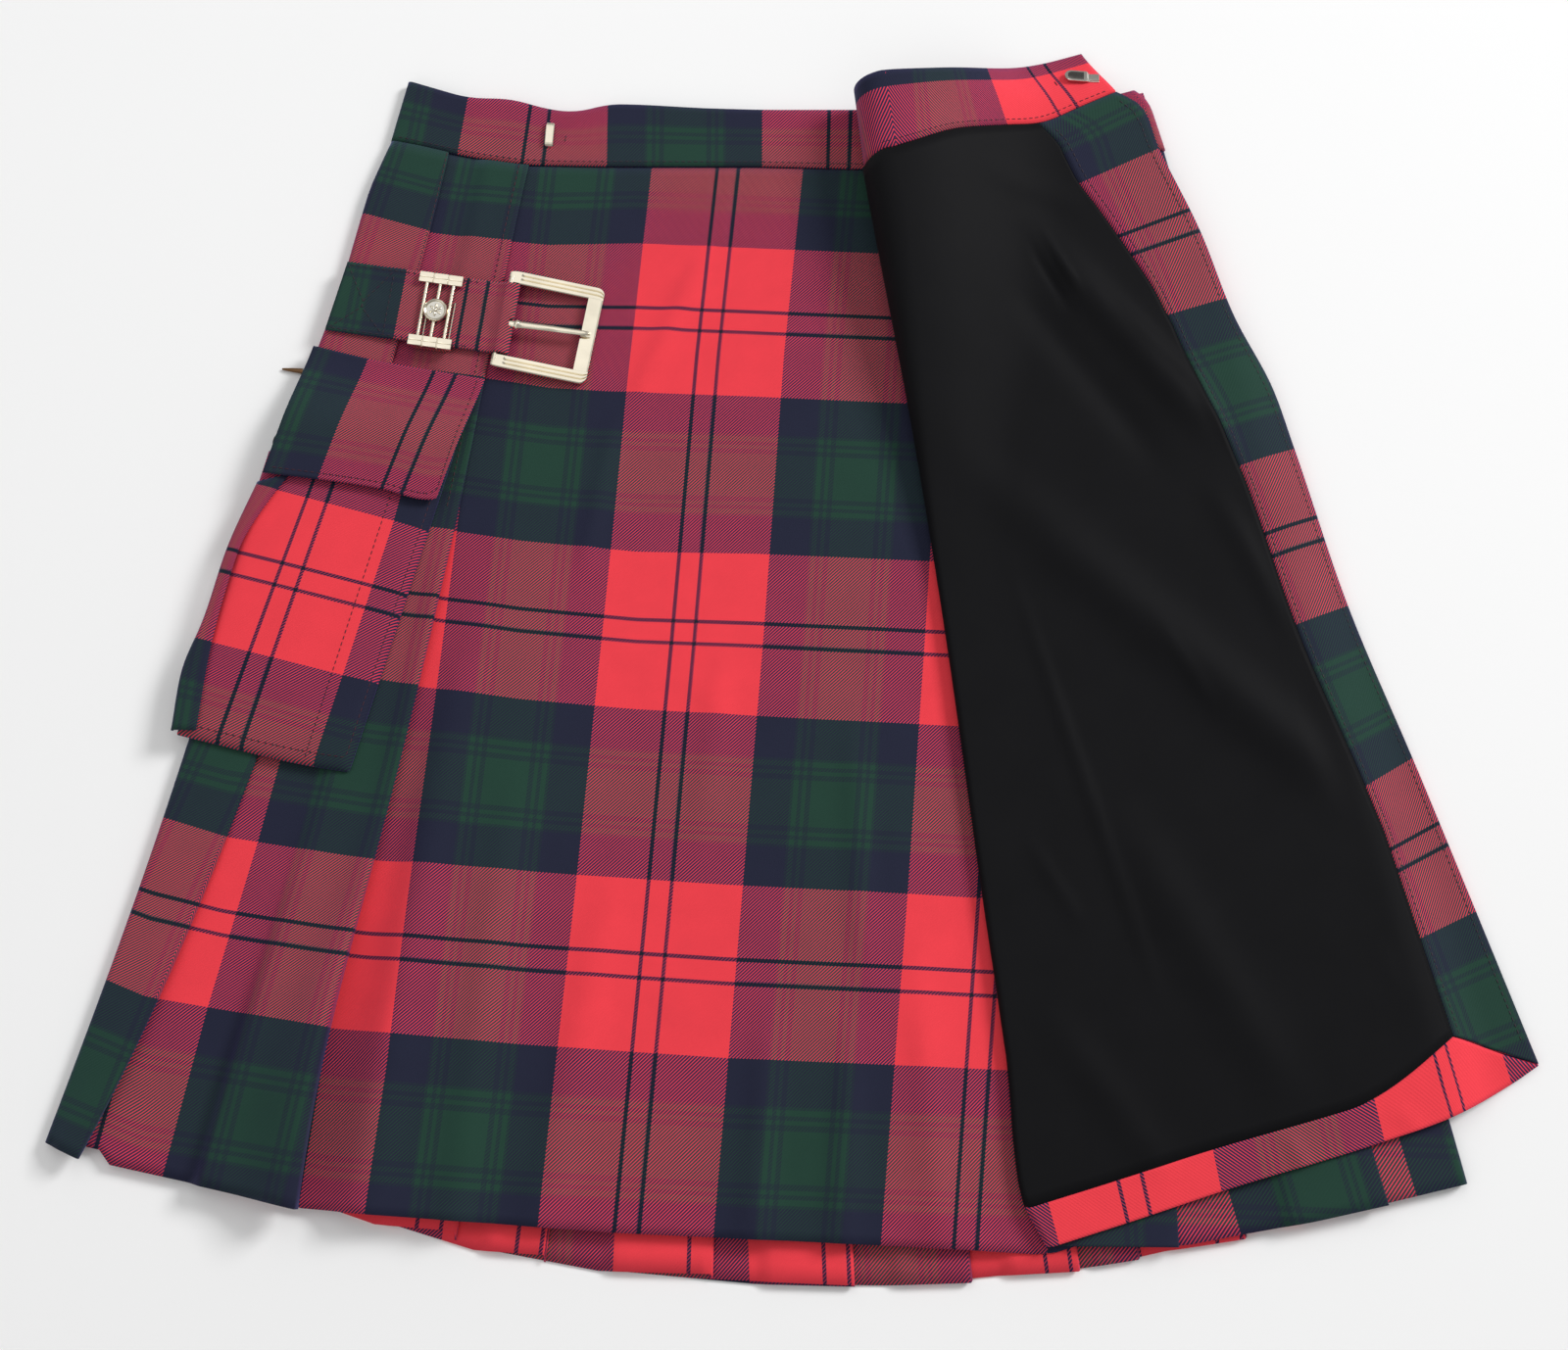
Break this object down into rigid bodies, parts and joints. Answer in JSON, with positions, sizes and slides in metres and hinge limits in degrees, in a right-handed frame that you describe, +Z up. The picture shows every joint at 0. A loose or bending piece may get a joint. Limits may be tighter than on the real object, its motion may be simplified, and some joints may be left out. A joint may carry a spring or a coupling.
{
  "type": "kilt",
  "caption": "Tartan kilt with knife pleats, a cargo pocket and a side strap, laid flat with the lined over apron folded open.",
  "frame": {"origin": "centre of the bounding box in X and Y, on the surface that the kilt lies on", "axes": "+X to the viewer's right across the hem, +Y from the hem towards the waist, +Z up from the surface"},
  "size_m": [0.755, 0.6621, 0.0358],
  "materials": {
    "tartan": "matt 2/2 twill in red, green and navy checks",
    "lining": "plain black lining with a faint sheen",
    "polished_metal": "polished, warm silver",
    "bronze": "dull bronze",
    "stud": "black lacquer"
  },
  "bodies": {
    "kilt": {"back_pleats": "tartan", "left_side_pleats": "tartan", "under_apron": "tartan", "right_side_pleats": "tartan", "over_apron": "tartan", "over_apron_edge_facing": "tartan", "over_apron_hem_facing": "tartan", "over_apron_lining": "lining", "waistband_back": "tartan", "waistband_under_apron": "tartan", "waistband_over_apron": "tartan", "waistband_hook": "polished_metal", "waistband_eye": "polished_metal", "side_strap": "tartan", "strap_keeper": "polished_metal", "pocket_body": "tartan", "pocket_side_fold": "tartan", "pocket_flap": "tartan", "flap_snap": "stud", "hidden_strap_prong": "bronze"},
    "buckle": {"buckle_frame": "polished_metal"},
    "prong": {"buckle_prong": "polished_metal"}
  },
  "joints": [
    {"name": "buckle_swing", "type": "hinge", "parent": "kilt", "child": "buckle", "pos_m": [-0.155, 0.178, 0.0109], "axis": [-0.1874, -0.9823, 0], "range_deg": [0, 105]},
    {"name": "prong_swing", "type": "hinge", "parent": "buckle", "child": "prong", "pos_m": [-0.155, 0.178, 0.0109], "axis": [-0.1874, -0.9823, 0], "range_deg": [0, 45]}
  ]
}
